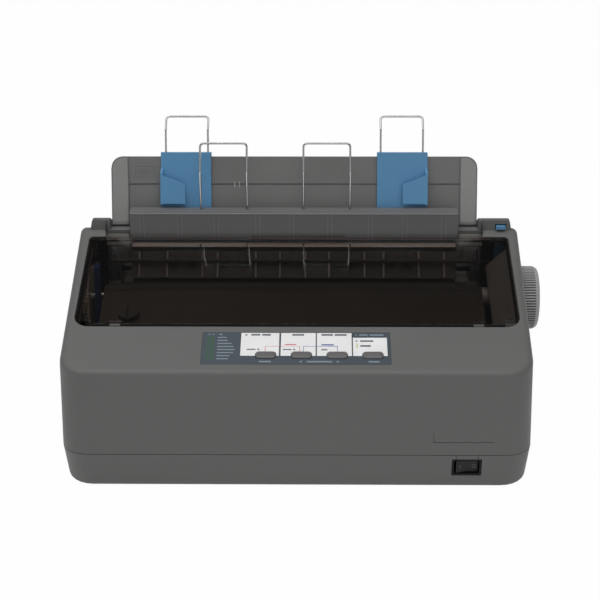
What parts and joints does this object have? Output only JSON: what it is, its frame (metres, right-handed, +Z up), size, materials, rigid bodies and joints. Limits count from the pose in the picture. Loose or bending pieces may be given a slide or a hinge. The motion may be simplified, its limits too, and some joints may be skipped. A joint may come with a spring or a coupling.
{
  "type": "dot matrix printer",
  "caption": "Desktop dot matrix printer with a hinged smoked cover, rubber platen with side knob, travelling print head, tilting sheet guide with sliding edge guides, and rear pin tractors.",
  "frame": {"origin": "centre of the printer's box, knob included, on the desk under its feet", "axes": "+X to the printer's right seen from the front, +Y from the front to the rear, +Z up"},
  "size_m": [0.365, 0.275, 0.2215],
  "materials": {
    "case_grey": "fine textured",
    "case_dark": "fine textured",
    "smoked_cover": "polished smoked plastic",
    "black_plastic": "satin",
    "blue_plastic": "satin",
    "label_blue_grey": "printed film",
    "button_grey": "satin",
    "knob_grey": "satin",
    "white_gear": "satin",
    "zinc_steel": "zinc plated",
    "polished_steel": "ground",
    "black_wire": "plated wire",
    "rubber": "ground",
    "foot_rubber": "moulded",
    "belt_rubber": "moulded",
    "board_green": "solder resist",
    "motor_black": "painted",
    "head_aluminium": "cast",
    "brass": "turned",
    "ribbon_fabric": "inked"
  },
  "bodies": {
    "case": {"lower_case": "case_dark", "upper_case": "case_grey", "rubber_feet": "foot_rubber", "case_screws": "zinc_steel", "panel_label": "label_blue_grey", "switch_housing": "black_plastic", "circuit_boards": "board_green", "power_supply": "zinc_steel", "ac_inlet": "black_plastic", "interface_ports": "zinc_steel", "chassis_frame": "zinc_steel", "left_side_frame": "zinc_steel", "right_side_frame": "zinc_steel", "platen_bushes": "white_gear", "feed_motor": "motor_black", "feed_chute": "black_plastic", "exit_guide": "black_plastic", "carriage_shaft": "polished_steel", "carriage_motor": "motor_black", "carriage_belt": "belt_rubber", "ribbon_cartridge": "black_plastic", "ribbon": "ribbon_fabric", "tractor_rod": "zinc_steel"},
    "cover": {"printer_cover": "smoked_cover"},
    "platen": {"platen_roller": "rubber", "platen_shaft": "polished_steel", "platen_gear": "white_gear", "platen_knob": "knob_grey"},
    "idler": {"feed_idler_gear": "white_gear"},
    "pinion": {"feed_pinion": "brass"},
    "tractor_idler": {"tractor_idler_gear": "white_gear"},
    "tractor_shaft": {"tractor_drive_shaft": "polished_steel"},
    "pinch": {"pinch_rollers": "rubber"},
    "eject": {"eject_rollers": "black_plastic"},
    "carriage": {"print_carriage": "black_plastic", "print_head": "head_aluminium"},
    "drive_pulley": {"drive_pulley": "polished_steel"},
    "idler_pulley": {"idler_pulley": "polished_steel"},
    "button_one": {"button_one": "button_grey"},
    "button_two": {"button_two": "button_grey"},
    "button_three": {"button_three": "button_grey"},
    "button_four": {"button_four": "button_grey"},
    "rocker": {"power_rocker": "black_plastic"},
    "ribbon_knob": {"ribbon_knob": "black_plastic"},
    "flap": {"front_flap": "case_grey"},
    "left_front_wire": {"left_front_wire": "black_wire"},
    "right_front_wire": {"right_front_wire": "black_wire"},
    "guide": {"sheet_guide": "case_grey"},
    "left_edge_guide": {"left_edge_guide": "blue_plastic"},
    "right_edge_guide": {"right_edge_guide": "blue_plastic"},
    "left_rear_wire": {"left_rear_wire": "black_wire"},
    "right_rear_wire": {"right_rear_wire": "black_wire"},
    "release_lever": {"release_lever": "blue_plastic"},
    "thickness_lever": {"thickness_lever": "blue_plastic"},
    "left_tractor": {"left_tractor": "black_plastic"},
    "left_tractor_door": {"left_tractor_door": "blue_plastic"},
    "left_sprocket": {"left_sprocket": "white_gear"},
    "right_tractor": {"right_tractor": "black_plastic"},
    "right_tractor_door": {"right_tractor_door": "blue_plastic"},
    "right_sprocket": {"right_sprocket": "white_gear"}
  },
  "joints": [
    {"name": "cover_hinge", "type": "hinge", "parent": "case", "child": "cover", "pos_m": [-0.0073, -0.0829, 0.10896], "axis": [1, 0, 0], "range_deg": [0, 100]},
    {"name": "platen_spin", "type": "hinge", "parent": "case", "child": "platen", "pos_m": [-0.011, 0.002, 0.094], "axis": [1, 0, 0], "continuous": true},
    {"name": "idler_spin", "type": "hinge", "parent": "case", "child": "idler", "pos_m": [-0.011, 0.02, 0.06282], "axis": [1, 0, 0], "continuous": true},
    {"name": "pinion_spin", "type": "hinge", "parent": "case", "child": "pinion", "pos_m": [-0.011, 0.03692, 0.05667], "axis": [1, 0, 0], "continuous": true},
    {"name": "tractor_idler_spin", "type": "hinge", "parent": "case", "child": "tractor_idler", "pos_m": [-0.011, 0.04129, 0.08987], "axis": [1, 0, 0], "continuous": true},
    {"name": "tractor_shaft_spin", "type": "hinge", "parent": "case", "child": "tractor_shaft", "pos_m": [-0.011, 0.08057, 0.08574], "axis": [1, 0, 0], "continuous": true},
    {"name": "pinch_spin", "type": "hinge", "parent": "case", "child": "pinch", "pos_m": [-0.011, 0.002, 0.0737], "axis": [1, 0, 0], "continuous": true},
    {"name": "eject_spin", "type": "hinge", "parent": "case", "child": "eject", "pos_m": [-0.011, 0.003, 0.125], "axis": [1, 0, 0], "continuous": true},
    {"name": "carriage_slide", "type": "slide", "parent": "case", "child": "carriage", "axis": [1, 0, 0], "range_m": [0, 0.205]},
    {"name": "drive_pulley_spin", "type": "hinge", "parent": "case", "child": "drive_pulley", "pos_m": [-0.139, -0.063, 0.063], "axis": [0, 1, 0], "range_deg": [0, 1710]},
    {"name": "idler_pulley_spin", "type": "hinge", "parent": "case", "child": "idler_pulley", "pos_m": [0.115, -0.063, 0.063], "axis": [0, 1, 0], "range_deg": [0, 1710]},
    {"name": "press_button_one", "type": "slide", "parent": "case", "child": "button_one", "axis": [0, 0.2672, -0.9636], "range_m": [0, 0.001], "stiffness_N_per_m": 200, "springref_m": -0.0005},
    {"name": "press_button_two", "type": "slide", "parent": "case", "child": "button_two", "axis": [0, 0.2672, -0.9636], "range_m": [0, 0.001], "stiffness_N_per_m": 200, "springref_m": -0.0005},
    {"name": "press_button_three", "type": "slide", "parent": "case", "child": "button_three", "axis": [0, 0.2672, -0.9636], "range_m": [0, 0.001], "stiffness_N_per_m": 200, "springref_m": -0.0005},
    {"name": "press_button_four", "type": "slide", "parent": "case", "child": "button_four", "axis": [0, 0.2672, -0.9636], "range_m": [0, 0.001], "stiffness_N_per_m": 200, "springref_m": -0.0005},
    {"name": "rocker_tilt", "type": "hinge", "parent": "case", "child": "rocker", "pos_m": [0.1183, -0.1323, 0.02], "axis": [0, 0, 1], "range_deg": [-14, 0]},
    {"name": "ribbon_knob_turn", "type": "hinge", "parent": "case", "child": "ribbon_knob", "pos_m": [-0.135, -0.06129, 0.1081], "axis": [0, -0.2672, 0.9636], "continuous": true},
    {"name": "flap_hinge", "type": "hinge", "parent": "case", "child": "flap", "pos_m": [-0.011, 0.03, 0.13855], "axis": [1, 0, 0], "range_deg": [0, 25]},
    {"name": "left_front_wire_slide", "type": "slide", "parent": "flap", "child": "left_front_wire", "axis": [0, 0, 1], "range_m": [-0.018, 0]},
    {"name": "right_front_wire_slide", "type": "slide", "parent": "flap", "child": "right_front_wire", "axis": [0, 0, 1], "range_m": [-0.018, 0]},
    {"name": "guide_tilt", "type": "hinge", "parent": "case", "child": "guide", "pos_m": [-0.011, 0.03788, 0.14205], "axis": [1, 0, 0], "range_deg": [-58, 0]},
    {"name": "left_edge_slide", "type": "slide", "parent": "guide", "child": "left_edge_guide", "axis": [1, 0, 0], "range_m": [-0.02, 0.05]},
    {"name": "right_edge_slide", "type": "slide", "parent": "guide", "child": "right_edge_guide", "axis": [-1, 0, 0], "range_m": [-0.02, 0.05]},
    {"name": "left_rear_wire_slide", "type": "slide", "parent": "left_edge_guide", "child": "left_rear_wire", "axis": [0, 0.2924, 0.9563], "range_m": [-0.02, 0]},
    {"name": "right_rear_wire_slide", "type": "slide", "parent": "right_edge_guide", "child": "right_rear_wire", "axis": [0, 0.2924, 0.9563], "range_m": [-0.02, 0]},
    {"name": "release_lever_swing", "type": "hinge", "parent": "case", "child": "release_lever", "pos_m": [0.1537, 0.031, 0.112], "axis": [-1, 0, 0], "range_deg": [0, 6]},
    {"name": "thickness_lever_swing", "type": "hinge", "parent": "case", "child": "thickness_lever", "pos_m": [-0.1678, -0.016, 0.08], "axis": [-1, 0, 0], "range_deg": [-6, 8]},
    {"name": "left_tractor_slide", "type": "slide", "parent": "case", "child": "left_tractor", "axis": [1, 0, 0], "range_m": [-0.004, 0.05]},
    {"name": "left_tractor_door_hinge", "type": "hinge", "parent": "left_tractor", "child": "left_tractor_door", "pos_m": [-0.1413, 0.08057, 0.09954], "axis": [0, -1, 0], "range_deg": [0, 95]},
    {"name": "left_sprocket_spin", "type": "hinge", "parent": "left_tractor", "child": "left_sprocket", "pos_m": [-0.129, 0.08057, 0.08574], "axis": [1, 0, 0], "continuous": true},
    {"name": "right_tractor_slide", "type": "slide", "parent": "case", "child": "right_tractor", "axis": [-1, 0, 0], "range_m": [-0.004, 0.05]},
    {"name": "right_tractor_door_hinge", "type": "hinge", "parent": "right_tractor", "child": "right_tractor_door", "pos_m": [0.1193, 0.08057, 0.09954], "axis": [0, 1, 0], "range_deg": [0, 95]},
    {"name": "right_sprocket_spin", "type": "hinge", "parent": "right_tractor", "child": "right_sprocket", "pos_m": [0.107, 0.08057, 0.08574], "axis": [1, 0, 0], "continuous": true}
  ],
  "couplings": [
    {"joint": "idler_spin", "follows": "platen_spin", "ratio": -2},
    {"joint": "pinion_spin", "follows": "platen_spin", "ratio": 4},
    {"joint": "tractor_idler_spin", "follows": "platen_spin", "ratio": -1.5484},
    {"joint": "tractor_shaft_spin", "follows": "platen_spin", "ratio": 1},
    {"joint": "pinch_spin", "follows": "platen_spin", "ratio": -3},
    {"joint": "eject_spin", "follows": "platen_spin", "ratio": -4},
    {"joint": "drive_pulley_spin", "follows": "carriage_slide", "rad_per_m": 144.93},
    {"joint": "idler_pulley_spin", "follows": "carriage_slide", "rad_per_m": 144.93},
    {"joint": "left_sprocket_spin", "follows": "platen_spin", "ratio": 1},
    {"joint": "right_sprocket_spin", "follows": "platen_spin", "ratio": 1}
  ]
}
